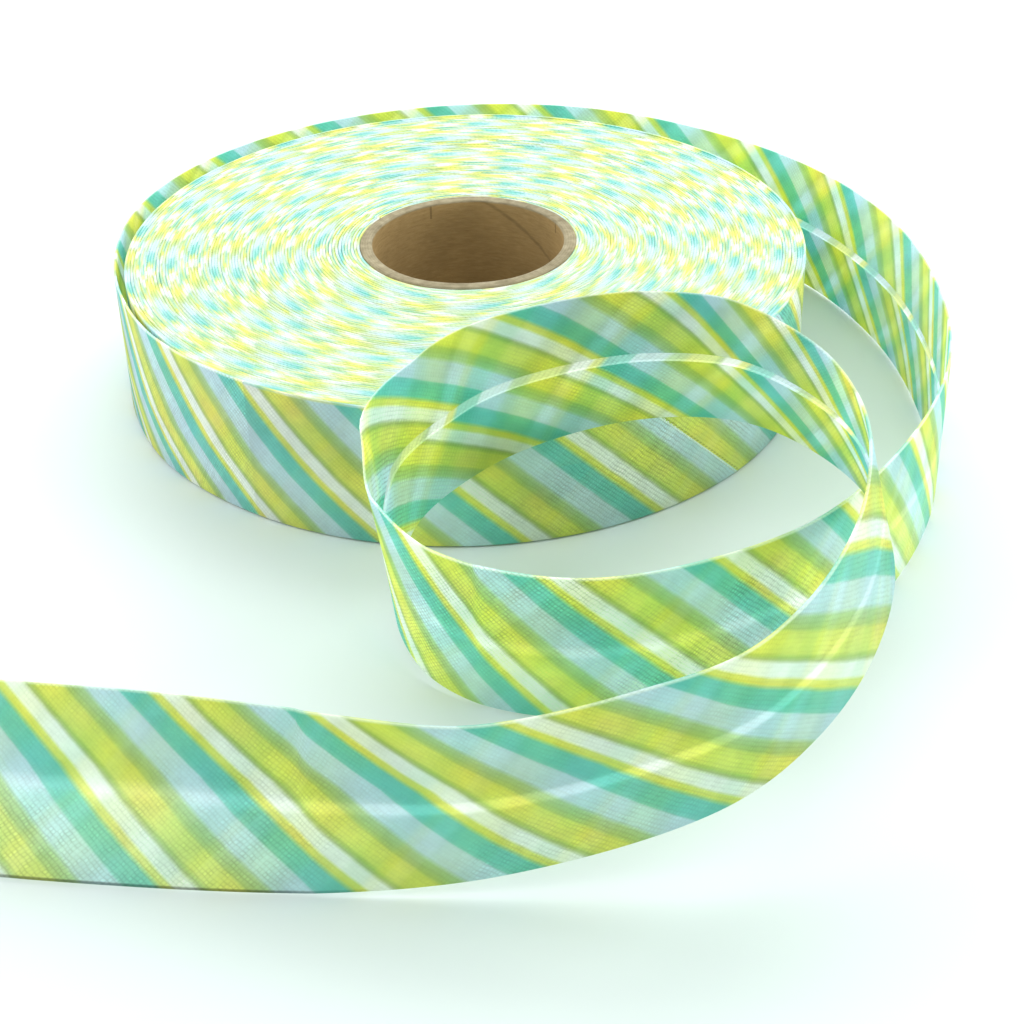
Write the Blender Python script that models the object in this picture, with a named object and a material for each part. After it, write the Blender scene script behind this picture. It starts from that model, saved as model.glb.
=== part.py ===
"""A roll of bias binding that lies flat, with its loose end laid in one open loop in front of it.

The tape is a bias strip with both raw edges folded to the middle of the back. It is wound
clockwise, seen from above, on a cardboard tube. The loose end leaves the outer turn at the front
left, goes round the back of the roll, comes forward on the right and makes the loop.
"""

import math
from collections import namedtuple

import bmesh
import bpy
from mathutils import Vector

MM = 0.001

# Driving dimensions
TAPE_WIDTH = 30.0 * MM
ROLL_RADIUS = 72.0 * MM
CORE_BORE_RADIUS = 20.25 * MM
CORE_WALL = 2.65 * MM
CLEARANCE = 0.3 * MM
SHEET_THICKNESS = 1.0 * MM
SHEET_STEP = 6.0 * MM
SHEET_BANDS = 3

CORE_CHAMFER = 0.4 * MM
CORE_STEPS = 72
ROLL_STEPS = 96
CORE_RADIUS = CORE_BORE_RADIUS + CORE_WALL

# The roll's turns stand a little proud or low, so its top and its wall aren't quite flat.
# share: way out from the core to the wall; drop: how far the turns lie below the tape's width.
TurnRing = namedtuple("TurnRing", "share drop")
TURN_RINGS = (
    TurnRing(0.00, 0.2 * MM),
    TurnRing(0.12, 0.0 * MM),
    TurnRing(0.26, 0.4 * MM),
    TurnRing(0.40, 0.1 * MM),
    TurnRing(0.55, 0.5 * MM),
    TurnRing(0.72, 0.1 * MM),
    TurnRing(0.88, 0.3 * MM),
    TurnRing(1.00, 0.1 * MM),
)
TURN_WAVE = 0.15 * MM
TURN_WAVES_ROUND = 5
WALL_WAVE = 0.12 * MM
WALL_WAVES_ROUND = 4
# lift: share of the tape's width; inset: how far the wall draws in there.
WallBand = namedtuple("WallBand", "lift inset")
WALL_BANDS = (
    WallBand(0.0, 0.3 * MM),
    WallBand(0.04, 0.0 * MM),
    WallBand(0.5, 0.1 * MM),
    WallBand(0.96, 0.0 * MM),
)

# The loose end's lower edge, from the roll to the cut end, about the roll's axis.
# x, y: place on the table; lift: height of the edge, all in millimetres;
# lean: how far the width leans towards the inside of the curve, in degrees.
Station = namedtuple("Station", "x y lift lean")
LOOSE_END = (
    # along the front left and round the back of the roll
    Station(-41.5, -60.1, 0.0, 0.0),
    Station(-53.6, -49.7, 0.0, 0.0),
    Station(-63.5, -36.2, 0.0, 0.0),
    Station(-73.0, -8.0, 0.0, 0.0),
    Station(-72.0, 22.5, 0.0, 0.0),
    Station(-58.5, 49.0, 0.0, 0.0),
    Station(-35.0, 68.5, 0.0, 0.5),
    Station(-4.0, 77.5, 0.0, 0.0),
    Station(27.5, 74.0, 0.0, -0.5),
    # away from the roll on the right
    Station(56.0, 59.5, 0.0, 2.0),
    Station(78.0, 36.5, 0.0, 2.0),
    Station(90.5, 6.5, 0.0, -1.0),
    Station(94.3, -26.0, 0.0, -1.5),
    Station(91.0, -58.0, 0.0, 0.0),
    Station(76.8, -88.5, 0.0, 0.5),
    # the loop's near side, standing on the table
    Station(54.8, -112.0, 0.0, -1.5),
    Station(24.0, -123.0, 0.0, -4.0),
    Station(7.0, -121.0, 0.0, -3.0),
    Station(-6.5, -112.0, 1.5, -4.0),
    # the loop's far side, climbing in front of the roll
    Station(-12.5, -96.5, 5.0, -5.0),
    Station(-9.0, -81.5, 11.5, 0.0),
    Station(3.5, -74.0, 18.5, 6.0),
    Station(19.0, -73.0, 25.0, 10.0),
    Station(34.8, -74.5, 29.0, 14.5),
    Station(49.6, -79.6, 30.8, 18.0),
    # over its own upper edge and down to the table
    Station(60.5, -90.9, 31.4, 19.5),
    Station(68.0, -105.6, 30.5, 18.0),
    Station(69.0, -122.5, 28.0, 12.0),
    Station(63.2, -138.8, 23.5, 3.5),
    Station(53.0, -151.0, 17.8, -3.0),
    Station(39.0, -159.0, 12.0, -4.5),
    Station(6.0, -163.0, 3.3, -1.0),
    # the front run, leaning back
    Station(-28.5, -162.5, 0.0, 19.0),
    Station(-62.0, -159.0, 0.0, 35.0),
    Station(-98.0, -153.0, 0.0, 36.0),
)
POINTS_PER_SPAN = 24

# name: base colour, roughness
KRAFT = ("kraft board", (0.50, 0.37, 0.22), 0.85)
WOUND_CLOTH = ("wound cotton", (0.66, 0.88, 0.62), 0.8)
LOOSE_CLOTH = ("striped cotton", (0.46, 0.74, 0.42), 0.8)


def clear_scene():
    for obj in list(bpy.data.objects):
        bpy.data.objects.remove(obj)


def make_material(name, colour, roughness):
    material = bpy.data.materials.new(name)
    material.use_nodes = True
    shader = material.node_tree.nodes["Principled BSDF"]
    shader.inputs["Base Color"].default_value = (*colour, 1.0)
    shader.inputs["Roughness"].default_value = roughness
    shader.inputs["Metallic"].default_value = 0.0
    return material


def closed_tube(name, rings, material):
    """An object from rings of points, each ring joined to the next and the last to the first."""
    mesh = bpy.data.meshes.new(name)
    work = bmesh.new()
    made = [[work.verts.new(point) for point in ring] for ring in rings]
    for ring, following in zip(made, made[1:] + made[:1]):
        for index in range(len(ring)):
            after = (index + 1) % len(ring)
            work.faces.new((ring[index], ring[after], following[after], following[index]))
    finish_mesh(work, mesh, material)
    return link_object(name, mesh)


def finish_mesh(work, mesh, material):
    bmesh.ops.recalc_face_normals(work, faces=work.faces)
    work.to_mesh(mesh)
    work.free()
    mesh.materials.append(make_material(*material))
    mesh.shade_smooth()
    mesh.set_sharp_from_angle(angle=math.radians(35))


def link_object(name, mesh):
    obj = bpy.data.objects.new(name, mesh)
    bpy.context.scene.collection.objects.link(obj)
    return obj


def turned_rings(profile, steps):
    """Rings of points round the roll's axis; profile gives a radius and height for each angle."""
    return [
        [
            Vector((radius * math.cos(angle), radius * math.sin(angle), height))
            for radius, height in profile(angle)
        ]
        for angle in (math.tau * step / steps for step in range(steps))
    ]


def core_profile(_angle):
    inner, outer, cut = CORE_BORE_RADIUS, CORE_RADIUS, CORE_CHAMFER
    return (
        (inner, cut),
        (inner + cut, 0.0),
        (outer - cut, 0.0),
        (outer, cut),
        (outer, TAPE_WIDTH - cut),
        (outer - cut, TAPE_WIDTH),
        (inner + cut, TAPE_WIDTH),
        (inner, TAPE_WIDTH - cut),
    )


def wound_profile(angle):
    """One section of the wound tape: flat below, with uneven turns above and on the wall."""
    inner = CORE_RADIUS + CLEARANCE
    wall_wave = WALL_WAVE * (0.5 + 0.5 * math.sin(WALL_WAVES_ROUND * angle))
    outer = ROLL_RADIUS - wall_wave
    wall = [(outer - band.inset, band.lift * TAPE_WIDTH) for band in WALL_BANDS]
    top = []
    for ring in reversed(TURN_RINGS):
        turn_wave = TURN_WAVE * (0.5 + 0.5 * math.sin(TURN_WAVES_ROUND * angle + ring.share * math.tau))
        radius = inner + (outer - WALL_BANDS[0].inset - inner) * ring.share
        top.append((radius, TAPE_WIDTH - ring.drop - turn_wave))
    return [(inner, 0.0), *wall, *top]


def spline_through(stations):
    """Points of a smooth curve through stations, paced by their distances, each (place, lean)."""
    points = [Vector((s.x * MM, s.y * MM, s.lift * MM, math.radians(s.lean))) for s in stations]
    points = [2 * points[0] - points[1], *points, 2 * points[-1] - points[-2]]
    curve = []
    for p0, p1, p2, p3 in zip(points, points[1:], points[2:], points[3:]):
        t0 = 0.0
        t1 = t0 + math.sqrt((p1 - p0).xyz.length)
        t2 = t1 + math.sqrt((p2 - p1).xyz.length)
        t3 = t2 + math.sqrt((p3 - p2).xyz.length)
        for step in range(POINTS_PER_SPAN):
            t = t1 + (t2 - t1) * step / POINTS_PER_SPAN
            a1 = p0.lerp(p1, (t - t0) / (t1 - t0))
            a2 = p1.lerp(p2, (t - t1) / (t2 - t1))
            a3 = p2.lerp(p3, (t - t2) / (t3 - t2))
            b1 = a1.lerp(a2, (t - t0) / (t2 - t0))
            b2 = a2.lerp(a3, (t - t1) / (t3 - t1))
            curve.append(b1.lerp(b2, (t - t1) / (t2 - t1)))
    curve.append(points[-2])
    return curve


def spaced_evenly(curve, spacing):
    """The curve's points again, an even distance of about spacing apart."""
    lengths = [0.0]
    for here, there in zip(curve, curve[1:]):
        lengths.append(lengths[-1] + (there - here).xyz.length)
    count = round(lengths[-1] / spacing)
    even, span = [], 0
    for index in range(count + 1):
        wanted = lengths[-1] * index / count
        while span < len(curve) - 2 and lengths[span + 1] < wanted:
            span += 1
        share = (wanted - lengths[span]) / (lengths[span + 1] - lengths[span])
        even.append(curve[span].lerp(curve[span + 1], share))
    return even


def sheet_section(before, here, after):
    """The outline of the sheet's section at here: up one face and down the other."""
    along = (after - before).xyz.normalized()
    upright = (Vector((0, 0, 1)) - along.z * along).normalized()
    inward = along.cross(upright)
    lean = here.w
    width = math.cos(lean) * upright + math.sin(lean) * inward
    half = SHEET_THICKNESS / 2 * along.cross(width)
    foot = Vector((here.x, here.y, max(here.z, 0.0) + abs(half.z)))
    up = [foot + width * (TAPE_WIDTH * band / SHEET_BANDS) for band in range(SHEET_BANDS + 1)]
    return [point + half for point in up] + [point - half for point in reversed(up)]


def make_loose_end():
    """The folded tape as one sheet, lofted from section to section and closed at both ends."""
    curve = spaced_evenly(spline_through(LOOSE_END), SHEET_STEP)
    neighbours = zip([curve[0], *curve], curve, [*curve[1:], curve[-1]])
    mesh = bpy.data.meshes.new("loose_end")
    work = bmesh.new()
    sections = [[work.verts.new(point) for point in sheet_section(*three)] for three in neighbours]
    for section, following in zip(sections, sections[1:]):
        for index in range(len(section)):
            after = (index + 1) % len(section)
            work.faces.new((section[index], section[after], following[after], following[index]))
    for section in (sections[0], sections[-1]):
        for band in range(SHEET_BANDS):
            work.faces.new((section[band], section[band + 1], section[-2 - band], section[-1 - band]))
    finish_mesh(work, mesh, LOOSE_CLOTH)
    return link_object("loose_end", mesh)


def centre_on_base(objects):
    """Moves the objects together so that the middle of their box's base is the origin."""
    corners = [vertex.co for obj in objects for vertex in obj.data.vertices]
    low = Vector(min(corner[axis] for corner in corners) for axis in range(3))
    high = Vector(max(corner[axis] for corner in corners) for axis in range(3))
    for obj in objects:
        obj.location = (-(low.x + high.x) / 2, -(low.y + high.y) / 2, -low.z)


def main():
    clear_scene()
    core = closed_tube("core", turned_rings(core_profile, CORE_STEPS), KRAFT)
    wound_tape = closed_tube("wound_tape", turned_rings(wound_profile, ROLL_STEPS), WOUND_CLOTH)
    loose_end = make_loose_end()
    centre_on_base([core, wound_tape, loose_end])


main()
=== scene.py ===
# %% [markdown]
# # A roll of striped bias binding
#
# Bias binding is a long strip of thin cotton, cut slantwise through the cloth, with both raw
# edges folded to the middle of its back. It is wound flat on a cardboard tube, and here its loose
# end runs round the back of the roll and lies in a loop in front of it. The whole look comes from
# one folded strip and one print, so this lesson makes the folded section once and sends it along
# two paths: the spiral of the roll, and the route of the loose end.
#
# The first cell loads the plain model as the frame that every piece has to fit.

import math

import bmesh
import bpy
from mathutils import Matrix, Vector


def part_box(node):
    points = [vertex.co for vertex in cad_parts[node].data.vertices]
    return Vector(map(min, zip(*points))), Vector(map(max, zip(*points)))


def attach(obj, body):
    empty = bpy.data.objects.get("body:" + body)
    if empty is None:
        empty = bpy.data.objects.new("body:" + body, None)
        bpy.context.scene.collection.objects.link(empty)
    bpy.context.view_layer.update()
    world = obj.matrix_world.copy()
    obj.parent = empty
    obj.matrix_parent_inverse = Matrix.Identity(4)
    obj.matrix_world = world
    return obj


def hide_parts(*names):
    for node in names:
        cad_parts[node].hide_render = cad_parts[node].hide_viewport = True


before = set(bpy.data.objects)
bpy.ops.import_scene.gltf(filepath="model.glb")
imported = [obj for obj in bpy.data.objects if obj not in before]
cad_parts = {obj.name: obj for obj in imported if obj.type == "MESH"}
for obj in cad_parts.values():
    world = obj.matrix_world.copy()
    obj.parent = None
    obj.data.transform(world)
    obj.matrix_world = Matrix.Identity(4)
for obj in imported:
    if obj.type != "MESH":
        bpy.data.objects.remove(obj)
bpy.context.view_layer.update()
MM = 0.001
print("frame:", sorted(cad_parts))

# %% [markdown]
# ## Small helpers for node trees
#
# Geometry Nodes and shaders are both trees of nodes, built here by script so that the whole
# object can be read in one file. Wiring them by hand takes three lines a node, and the sums get
# lost in it. So a node's output is wrapped in a small class on which plain arithmetic adds Math
# nodes: `(noise - 0.5) * width` then reads as what it does. A value that is a node's output is
# linked, and any other value is typed into the socket.


# %% Node helpers
class Output:
    """A node's output. Plain arithmetic on it adds Math nodes to its tree."""

    def __init__(self, socket):
        self.socket = socket

    def __add__(self, other):
        return maths("ADD", self, other)

    def __sub__(self, other):
        return maths("SUBTRACT", self, other)

    def __rsub__(self, other):
        return maths("SUBTRACT", other, self)

    def __mul__(self, other):
        return maths("MULTIPLY", self, other)

    def __truediv__(self, other):
        return maths("DIVIDE", self, other)


def add_node(tree, kind, sockets=None, **options):
    """A new node with its options set, and its sockets linked or given values."""
    made = tree.nodes.new(kind)
    for option, value in options.items():
        setattr(made, option, value)
    for name, value in (sockets or {}).items():
        if isinstance(value, Output):
            tree.links.new(value.socket, made.inputs[name])
        else:
            made.inputs[name].default_value = value
    return made


def source(tree, kind, output=0, sockets=None, **options):
    """The output of a new node that no other node feeds."""
    return Output(add_node(tree, kind, sockets, **options).outputs[output])


def fed(kind, sockets, output=0, **options):
    """The output of a new node, in the tree of the outputs that it is fed with."""
    tree = next(value.socket.id_data for value in sockets.values() if isinstance(value, Output))
    return source(tree, kind, output, sockets, **options)


def maths(operation, *values, clamp=False):
    return fed("ShaderNodeMath", dict(enumerate(values)), operation=operation, use_clamp=clamp)


# %% [markdown]
# A few kinds of node come up again and again, so each gets a short name: a point from three
# numbers, its numbers again, noise, a range moved to another range, a colour made lighter or
# darker, and two colours mixed.


# %% Short names for common nodes
def point(x=0.0, y=0.0, z=0.0):
    return fed("ShaderNodeCombineXYZ", {"X": x, "Y": y, "Z": z})


def numbers_of(vector):
    made = add_node(vector.socket.id_data, "ShaderNodeSeparateXYZ", {"Vector": vector})
    return [Output(socket) for socket in made.outputs]


def noise(place, scale, detail, roughness=0.5):
    return fed("ShaderNodeTexNoise",
               {"Vector": place, "Scale": scale, "Detail": detail, "Roughness": roughness})


def mapped(value, start, end, low=0.0, high=1.0):
    """Low up to start, high from end on, and a straight slope between them."""
    return fed("ShaderNodeMapRange",
               {"Value": value, "From Min": start, "From Max": end, "To Min": low, "To Max": high})


def scaled(colour, factor):
    return fed("ShaderNodeVectorMath", {0: colour, "Scale": factor}, operation="SCALE")


def mixed(factor, first, second, kind="MIX"):
    return fed("ShaderNodeMix", {0: factor, 6: first, 7: second}, 2, data_type="RGBA", blend_type=kind)


def from_screen(colour):
    """A screen colour of 0 to 255 as the linear colour that a shader wants."""
    shares = [level / 255 for level in colour]
    return (*(s / 12.92 if s <= 0.04045 else ((s + 0.055) / 1.055) ** 2.4 for s in shares), 1.0)


def ramp(stops, factor):
    """A colour ramp through the stops, each a place from 0 to 1 and a screen colour."""
    made = add_node(factor.socket.id_data, "ShaderNodeValToRGB", {"Fac": factor})
    points = made.color_ramp.elements
    while len(points) < len(stops):
        points.new(1.0)
    for stop, (place, colour) in zip(points, stops):
        stop.position = place
        stop.color = from_screen(colour)
    return Output(made.outputs["Color"])


# %% [markdown]
# A node group starts with its named inputs. Their kinds follow from their values: a number, a yes
# or no, or the name of a kind that has no plain value, such as a material. Objects and materials
# are made in many cells too, so they get a helper each.

# %% Groups, materials and objects
SOCKET_KINDS = {float: "Float", int: "Int", bool: "Bool"}


def new_tree(name, kind, inputs, outputs):
    """A node group with its named sockets, and what its inputs give, by name."""
    tree = bpy.data.node_groups.new(name, kind)
    for in_out, sockets in (("INPUT", inputs), ("OUTPUT", outputs)):
        for title, value in sockets.items():
            named = isinstance(value, str)
            socket_kind = "NodeSocket" + (value if named else SOCKET_KINDS[type(value)])
            socket = tree.interface.new_socket(title, in_out=in_out, socket_type=socket_kind)
            if not named:
                socket.default_value = value
    return tree, {socket.name: Output(socket) for socket in add_node(tree, "NodeGroupInput").outputs}


def new_material(name):
    """A material, and its tree with no nodes in it."""
    material = bpy.data.materials.new(name)
    material.use_nodes = True
    material.node_tree.nodes.clear()
    return material, material.node_tree


def in_scene(name, data):
    obj = bpy.data.objects.new(name, data)
    bpy.context.scene.collection.objects.link(obj)
    return obj


def chain_object(name, points, closed=False, **carried):
    """A chain of edges through the points, each of which carries the named numbers."""
    edges = [(index, index + 1) for index in range(len(points) - 1)]
    if closed:
        edges.append((len(points) - 1, 0))
    mesh = bpy.data.meshes.new(name)
    mesh.from_pydata(points, edges, [])
    for title, values in carried.items():
        mesh.attributes.new(title, "FLOAT", "POINT").data.foreach_set("value", values)
    return in_scene(name, mesh)


# %% [markdown]
# ## The folded section
#
# Cut across, the tape is a flat loop of cloth: one face 30 mm wide, a fold at each edge, and two
# flaps that meet in the middle of the back with a narrow gap. It could be drawn as a curve with
# handles, but a short list of points is easier to read. Each point also remembers how far it
# is across the flat, unfolded strip. That number travels with the cloth, so the print can follow
# the folds as real print does.
#
# A curve-to-mesh node puts the section's x to the right of the path and its y downwards, so the
# face has a negative x, on the outside of every bend, and the heights are negative too.

# %% The folded section
TAPE_WIDTH = 30.0 * MM
BACK_GAP = 2.0 * MM
LOOSE_DEPTH = 0.5 * MM
WOUND_DEPTH = 0.60 * MM
CREST = 0.10 * MM
FOLD_ANGLES = (0, 36, 72, 108, 144, 180)
FACE_LIFTS = (0.2, 0.4, 0.6, 0.8)


def folded_outline(depth):
    """Points (offset, height, across) from the upper flap's raw edge to the lower flap's."""
    half, raw = depth / 2, (TAPE_WIDTH + BACK_GAP) / 2
    bends = [math.radians(angle) for angle in FOLD_ANGLES]
    fold = [(half * math.cos(bend), CREST * (1 - math.sin(bend))) for bend in bends]
    points = [(half, raw)]
    points += [(offset, TAPE_WIDTH - height) for offset, height in fold]
    points += [(-half, TAPE_WIDTH * lift) for lift in reversed(FACE_LIFTS)]
    points += reversed(fold)
    points.append((half, TAPE_WIDTH - raw))
    gone = [0.0]
    for here, there in zip(points, points[1:]):
        gone.append(gone[-1] + math.dist(here, there))
    return [(*place, gone[-1] / 2 - passed) for place, passed in zip(points, gone)]


def section_object(name, depth, closed):
    outline = folded_outline(depth)
    return chain_object(name, [(offset, -height, 0.0) for offset, height, _ in outline], closed,
                        across=[across for _, _, across in outline])


open_section = section_object("open section", LOOSE_DEPTH, closed=False)
closed_section = section_object("closed section", WOUND_DEPTH, closed=True)
flat = folded_outline(LOOSE_DEPTH)
print("flat width, mm:", round((flat[0][2] - flat[-1][2]) / MM, 1))

# %% [markdown]
# ## A tree that sweeps the tape
#
# Both parts of the tape are one section sent along one path, which is just what Geometry Nodes
# are for: change the path or the width, and the cloth follows. The tree turns the path's points
# and the section's points into curves, keeps the width upright, leans it by the path's own lean,
# and sweeps one along the other. The two numbers that the points carry, along and across, become
# the UV map: a map in metres of cloth, so that every stripe and thread has its true size.
#
# Bias cloth gives, so its print is never quite straight. The path can carry four more numbers for
# that: shear slants the print on the face, bend and dip slant it further towards the upper and
# the lower fold, and slip moves it on the flaps. Where a path doesn't carry one, it is nought.

# %% The sweeping tree
BEND_FROM = 4.5 * MM
PATH_NUMBERS = ("along", "lean", "size", "shear", "bend", "dip", "slip")


def finished(geometry, material):
    """How every tree here ends: smooth, with real faces for its instances, and its material."""
    smooth = fed("GeometryNodeSetShadeSmooth", {"Geometry": geometry})
    real = fed("GeometryNodeRealizeInstances", {"Geometry": smooth})
    return fed("GeometryNodeSetMaterial", {"Geometry": real, "Material": material})


def sweeping_group():
    tree, given = new_tree(
        "sweep folded tape", "GeometryNodeTree",
        {"Path": "Geometry", "Section": "Object", "Tape Width": TAPE_WIDTH, "Bend From": BEND_FROM,
         "Close Ends": False, "Material": "Material"},
        {"Cloth": "Geometry"})

    across, *path_numbers = (
        source(tree, "GeometryNodeInputNamedAttribute", sockets={"Name": name}, data_type="FLOAT")
        for name in ("across", *PATH_NUMBERS))
    along, lean, size, shear, bend, dip, slip = path_numbers
    path = fed("GeometryNodeMeshToCurve", {"Mesh": given["Path"]})
    upright = fed("GeometryNodeSetCurveNormal", {"Curve": path}, mode="Z_UP")
    leaning = fed("GeometryNodeSetCurveTilt", {"Curve": upright, "Tilt": lean})
    shape = fed("GeometryNodeObjectInfo", {"Object": given["Section"]}, "Geometry")
    profile = fed("GeometryNodeMeshToCurve", {"Mesh": shape})
    swept = fed("GeometryNodeCurveToMesh", {"Curve": leaning, "Profile Curve": profile, "Scale": size,
                                            "Fill Caps": given["Close Ends"]})
    from_middle = maths("ABSOLUTE", across)
    to_fold = maths("MINIMUM", from_middle, given["Tape Width"] * 0.5)
    on_face = to_fold * maths("SIGN", across)
    high = maths("MAXIMUM", on_face - given["Bend From"], 0.0)
    low = maths("MAXIMUM", on_face * -1.0 - given["Bend From"], 0.0)
    drawn = on_face * shear + along + high * bend + low * dip + (from_middle - to_fold) * slip
    outward = fed("GeometryNodeFlipFaces", {"Mesh": swept})
    with_map = fed("GeometryNodeStoreNamedAttribute",
                   {"Geometry": outward, "Name": "UVMap", "Value": point(drawn, across)},
                   data_type="FLOAT2", domain="CORNER")
    add_node(tree, "NodeGroupOutput", {"Cloth": finished(with_map, given["Material"])})
    return tree


SWEEP = sweeping_group()
print("sweeping tree:", len(SWEEP.nodes), "nodes")

# %% [markdown]
# A tree works on an object through a modifier. Its inputs are set by their identifiers before
# anything is evaluated, and the result is then copied out as a plain mesh.


# %% From a tree to a mesh
def with_tree(obj, tree, **values):
    """A Geometry Nodes modifier on obj, with its named inputs set."""
    modifier = obj.modifiers.new("tree", "NODES")
    modifier.node_group = tree
    wanted = {name.replace("_", " ").lower(): value for name, value in values.items()}
    for item in tree.interface.items_tree:
        if item.in_out == "INPUT" and item.name.lower() in wanted:
            modifier[item.identifier] = wanted.pop(item.name.lower())
    assert not wanted, wanted
    return obj


def made_mesh(obj, name):
    """The object's evaluated shape as a plain mesh object; the object itself is removed."""
    graph = bpy.context.evaluated_depsgraph_get()
    mesh = bpy.data.meshes.new_from_object(obj.evaluated_get(graph), depsgraph=graph)
    bpy.data.objects.remove(obj)
    for spare in ("across", *PATH_NUMBERS):
        if spare in mesh.attributes:
            mesh.attributes.remove(mesh.attributes[spare])
    mesh.name = name
    mesh.calc_loop_triangles()
    print(name, "has", len(mesh.loop_triangles), "triangles")
    return in_scene(name, mesh)


def seedling():
    """An object without points, for a tree that makes everything itself."""
    return in_scene("seedling", bpy.data.meshes.new("seedling"))


# %% [markdown]
# ## The print: one repeat of stripes
#
# The stripes look painted with a wet brush: teal, thin yellow, white, a thin dark green line,
# lime, olive and light blue, over and over, at a slant of nearly 45 degrees. Image textures could
# show them, but a rule is sharper and weighs nothing. A point's place along the strip, plus
# its place across it, gives how far it is through the repeats. The fraction of that picks the
# colour from a ramp whose stops are the stripes' edges. A little noise bends the edges, and a
# larger noise makes the paint pool and thin out.
#
# The roll holds one join, where two strips are sewn together at exactly 45 degrees. There the
# print jumps by half a repeat. The ridge of the pressed seam catches the light, painted as a pale
# line, and the needle has left a row of small holes beside it, painted as dark dots of shade.

# %% The stripes
REPEAT = 27.0 * MM
SLANT = 0.92
JOIN_REPEATS = 34.105
JOIN_SLANT = 1.0
JOIN_JUMP = 0.5
PRINT_NUMBERS = {"Repeat": REPEAT, "Slant": SLANT, "Join": JOIN_REPEATS, "Join Slant": JOIN_SLANT,
                 "Jump": JOIN_JUMP}
# share: where the colour starts in the repeat; colour: red, green, blue, as on screen, 0 to 255
STRIPES = (
    (0.000, (183, 207, 217)),
    (0.132, (180, 206, 216)),
    (0.152, (117, 190, 183)),
    (0.190, (104, 188, 180)),
    (0.312, (106, 188, 176)),
    (0.336, (154, 196, 132)),
    (0.360, (202, 209, 96)),
    (0.402, (206, 213, 110)),
    (0.430, (223, 229, 219)),
    (0.528, (221, 227, 219)),
    (0.560, (166, 184, 124)),
    (0.584, (164, 188, 94)),
    (0.618, (199, 210, 101)),
    (0.700, (206, 214, 99)),
    (0.780, (197, 208, 99)),
    (0.808, (166, 190, 103)),
    (0.850, (156, 186, 117)),
    (0.905, (160, 192, 140)),
    (0.945, (182, 206, 213)),
)
# how far the noise moves the stripes' edges, in repeats, and how much it changes the paint
EDGE_WOBBLE, EDGE_DRIFT = 0.018, 0.020
THINNED, POOLED, WARMTH = 0.90, 1.10, 0.035
# the seam's painted highlight and the needle holes' painted shade: place from the join, half width, soft edge
# and strength
SEAM_HIGHLIGHT = (-0.25 * MM, 0.10 * MM, 0.35 * MM, 0.55)
SEAM_HIGHLIGHT_COLOUR = (236, 246, 236)
NEEDLE_HOLE_SHADE = (0.45 * MM, 0.05 * MM, 0.40 * MM, 0.40)
HOLE_SPACING = 0.8 * MM


def stripes_group():
    tree, given = new_tree("wet brush stripes", "ShaderNodeTree",
                           {"Along": 0.0, "Across": 0.0, **PRINT_NUMBERS}, {"Color": "Color"})
    along, across = given["Along"], given["Across"]
    place = point(along, across)
    repeats = (across * given["Slant"] + along) / given["Repeat"]
    past_join = (across * given["Join Slant"] + along) / given["Repeat"] - given["Join"]
    bent = maths("GREATER_THAN", past_join, 0.0) * given["Jump"] + repeats
    bent = bent + (noise(place, scale=210.0, detail=3.0) - 0.5) * EDGE_WOBBLE
    bent = bent + (noise(place, scale=45.0, detail=1.0) - 0.5) * EDGE_DRIFT
    pools = noise(place, scale=130.0, detail=4.0, roughness=0.6)
    warmth = mapped(noise(place, scale=75.0, detail=2.0), 0.45, 0.70, 0.0, WARMTH)
    painted = fed("ShaderNodeHueSaturation", {
        "Hue": 0.5 - warmth, "Value": mapped(pools, 0.3, 0.7, THINNED, POOLED),
        "Color": ramp(STRIPES, maths("FRACT", bent))})

    def beside_join(middle, full, gone, most):
        return mapped(maths("ABSOLUTE", past_join * given["Repeat"] - middle), full, gone, most, 0.0)

    # a painted highlight along the seam's ridge, and painted shade in the needle holes beside it
    sewn = mixed(beside_join(*SEAM_HIGHLIGHT), painted, from_screen(SEAM_HIGHLIGHT_COLOUR))
    wave = maths("SINE", across * (math.tau / HOLE_SPACING))
    holes = beside_join(*NEEDLE_HOLE_SHADE) * (wave * 0.5 + 0.5)
    add_node(tree, "NodeGroupOutput", {"Color": scaled(sewn, 1.0 - holes)})
    return tree


STRIPE_PRINT = stripes_group()


def printed(along, across):
    """The print's colour at a place on the cloth."""
    return fed("ShaderNodeGroup", {"Along": along, "Across": across, **PRINT_NUMBERS}, "Color",
               node_tree=STRIPE_PRINT)


print("stripes:", len(STRIPES), "stops in a repeat of", REPEAT / MM, "mm")

# %% [markdown]
# ## The weave
#
# Close to, the cotton is a plain weave: each thread goes over one and under the next. Because the
# strip is cut on the bias, the threads run slantwise, at 45 degrees to its edges. Modelling
# threads would take millions of faces. A group works out from the cloth's own map where each
# point lies on its thread, and gives a height for the bump and a shade for the colour.
#
# Cotton looks like cotton because it is uneven. The warp is set wider than the weft, noise lets
# both sets of threads sway, each thread is a little thicker or thinner than the next, the small
# holes between them aren't equally deep, and here and there a crossing catches the light.
# A slow noise makes the weave show more in some patches than in others.

# %% The weave
WARP_PITCH = 0.77 * MM
WEFT_PITCH = 0.58 * MM
SWAY = 0.9 * MM
WEAVE_NUMBERS = {"Warp Pitch": WARP_PITCH, "Weft Pitch": WEFT_PITCH, "Sway": SWAY}
# powers: the lower, the flatter the threads' backs and the narrower the grooves between them
WARP_ROUNDNESS, WEFT_ROUNDNESS = 0.7, 0.4
PLAIN_SHADE = 1.205
HEIGHT_SHADE, THREAD_SHADE, MIDDLE_SHADE, HOLE_SHADE = 0.14, 0.13, 0.09, 0.40
GLINT_SHADE, GLINT_FROM = 0.14, 0.84
FAINT, STRONG = 0.25, 1.35


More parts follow.
